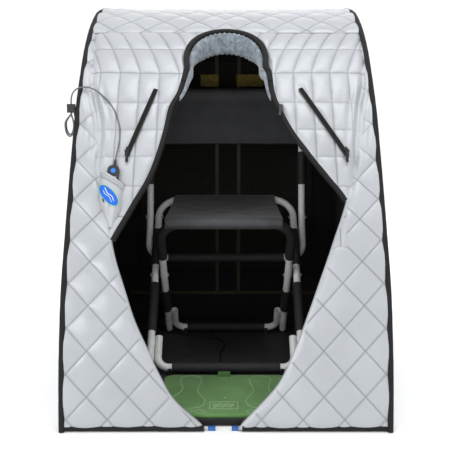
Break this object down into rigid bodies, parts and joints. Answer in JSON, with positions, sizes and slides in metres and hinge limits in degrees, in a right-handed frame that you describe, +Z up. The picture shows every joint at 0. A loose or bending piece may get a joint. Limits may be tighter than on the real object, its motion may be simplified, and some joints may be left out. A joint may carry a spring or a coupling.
{
  "type": "portable steam sauna",
  "caption": "Quilted one-person steam cabin with a neck hole, open front flaps, a folding chair, a heated foot pad and a wired remote in a pocket.",
  "frame": {"origin": "on the floor under the middle of the cabin", "axes": "+X to the viewer's right, +Y to the back, +Z up"},
  "size_m": [0.727, 0.8, 0.938],
  "materials": {
    "silver_cloth": "quilted coated nylon",
    "black_binding": "woven tape",
    "collar_fleece": "mottled fleece",
    "zip_tape": "zip tape",
    "zip_metal": "black lacquered",
    "blue_tab": "woven tab",
    "floor_cloth": "coated nylon",
    "badge_blue": "soft moulded badge",
    "black_plastic": "matt moulded",
    "remote_window": "smoked window",
    "button_blue": "gloss",
    "button_grey": "matt",
    "grey_cord": "smooth",
    "black_cord": "smooth",
    "green_pad": "felt",
    "green_plastic": "matt moulded",
    "heater_cloth": "black cloth",
    "heater_strip": "foil",
    "white_tube": "gloss powder coat",
    "black_foam": "closed cell foam",
    "bolt_steel": "zinc plated",
    "chair_cloth": "woven polyester"
  },
  "bodies": {
    "cabin": {"back_binding": "black_binding", "back_heater": "heater_cloth", "back_wall": "silver_cloth", "cord_grommet": "black_plastic", "cord_tie": "black_plastic", "floor_panel": "floor_cloth", "front_hems": "black_binding", "heater_strips": "heater_strip", "left_arm_zip": "zip_tape", "left_edge_binding": "black_binding", "left_front_flap": "silver_cloth", "left_heater": "heater_cloth", "left_side_wall": "silver_cloth", "left_zip_tape": "zip_tape", "main_zip_slider": "zip_metal", "neck_binding": "black_binding", "neck_collar": "collar_fleece", "pad_cord": "black_cord", "pad_socket": "black_plastic", "pocket_badge": "badge_blue", "remote_cord": "grey_cord", "remote_cord_hank": "grey_cord", "remote_cord_tail": "grey_cord", "remote_pocket": "silver_cloth", "right_arm_zip": "zip_tape", "right_edge_binding": "black_binding", "right_front_flap": "silver_cloth", "right_heater": "heater_cloth", "right_side_wall": "silver_cloth", "right_zip_tape": "zip_tape", "roof_cover": "silver_cloth", "zip_end_tabs": "blue_tab"},
    "cross_pins": {"cross_bolts": "bolt_steel"},
    "front_legs": {"front_leg_frame": "white_tube", "front_base_bar": "white_tube", "front_leg_foam": "black_foam", "front_feet": "black_plastic", "backrest_bolts": "bolt_steel", "pivot_spacers": "black_plastic", "seat_sling": "chair_cloth"},
    "rear_legs": {"rear_leg_frame": "white_tube", "rear_base_bar": "white_tube", "rear_leg_foam": "black_foam", "rear_feet": "black_plastic"},
    "backrest": {"backrest_frame": "white_tube", "backrest_foam": "black_foam", "backrest_sling": "chair_cloth"},
    "remote": {"remote_shell": "black_plastic", "remote_window": "remote_window", "remote_cord_relief": "black_plastic"},
    "power_button": {"power_button": "button_blue"},
    "plus_button": {"plus_button": "button_grey"},
    "minus_button": {"minus_button": "button_grey"},
    "foot_pad": {"foot_pad": "green_pad", "foot_pad_hub": "green_plastic"},
    "left_arm_slider": {"left_arm_slider": "zip_metal"},
    "left_arm_pull": {"left_arm_pull": "zip_metal"},
    "right_arm_slider": {"right_arm_slider": "zip_metal"},
    "right_arm_pull": {"right_arm_pull": "zip_metal"},
    "main_zip_pull": {"main_zip_pull": "zip_metal"}
  },
  "joints": [
    {"name": "chair_lift", "type": "slide", "parent": "cabin", "child": "cross_pins", "axis": [0, 0, 1], "range_m": [0, 0.045]},
    {"name": "leg_fold", "type": "hinge", "parent": "cross_pins", "child": "front_legs", "pos_m": [0, 0.09152, 0.21828], "axis": [1, 0, 0], "range_deg": [0, 12]},
    {"name": "rear_leg_fold", "type": "hinge", "parent": "front_legs", "child": "rear_legs", "pos_m": [0, 0.09152, 0.21828], "axis": [1, 0, 0], "range_deg": [-26, 0], "deforming": ["seat_sling"]},
    {"name": "backrest_fold", "type": "hinge", "parent": "front_legs", "child": "backrest", "pos_m": [0, 0.224, 0.35547], "axis": [1, 0, 0], "range_deg": [0, 80]},
    {"name": "remote_out", "type": "slide", "parent": "cabin", "child": "remote", "axis": [0.1045, 0.4995, 0.86], "range_m": [0, 0.09], "deforming": ["remote_cord"]},
    {"name": "power_press", "type": "slide", "parent": "remote", "child": "power_button", "axis": [0, 0.8647, -0.5023], "range_m": [0, 0.001], "stiffness_N_per_m": 300},
    {"name": "plus_press", "type": "slide", "parent": "remote", "child": "plus_button", "axis": [0, 0.8647, -0.5023], "range_m": [0, 0.001], "stiffness_N_per_m": 300},
    {"name": "minus_press", "type": "slide", "parent": "remote", "child": "minus_button", "axis": [0, 0.8647, -0.5023], "range_m": [0, 0.001], "stiffness_N_per_m": 300},
    {"name": "foot_pad_lift", "type": "slide", "parent": "cabin", "child": "foot_pad", "axis": [0, 0, 1], "range_m": [0, 0.1], "deforming": ["pad_cord"]},
    {"name": "left_arm_zip_slide", "type": "slide", "parent": "cabin", "child": "left_arm_slider", "axis": [0.3267, 0.5478, 0.7702], "range_m": [0, 0.1658]},
    {"name": "left_arm_pull_swing", "type": "hinge", "parent": "left_arm_slider", "child": "left_arm_pull", "pos_m": [-0.222, -0.18202, 0.57233], "axis": [-1, 0, 0], "range_deg": [0, 110]},
    {"name": "right_arm_zip_slide", "type": "slide", "parent": "cabin", "child": "right_arm_slider", "axis": [-0.4969, 0.5038, 0.7066], "range_m": [0, 0.1835]},
    {"name": "right_arm_pull_swing", "type": "hinge", "parent": "right_arm_slider", "child": "right_arm_pull", "pos_m": [0.271, -0.18202, 0.57233], "axis": [-1, 0, 0], "range_deg": [0, 110]},
    {"name": "main_pull_swing", "type": "hinge", "parent": "cabin", "child": "main_zip_pull", "pos_m": [0.12665, -0.11604, 0.66781], "axis": [-0.9903, 0.0839, 0.1111], "range_deg": [0, 110]}
  ],
  "couplings": [
    {"joint": "rear_leg_fold", "follows": "leg_fold", "ratio": -2},
    {"joint": "chair_lift", "follows": "leg_fold", "m_per_rad": 0.2}
  ]
}
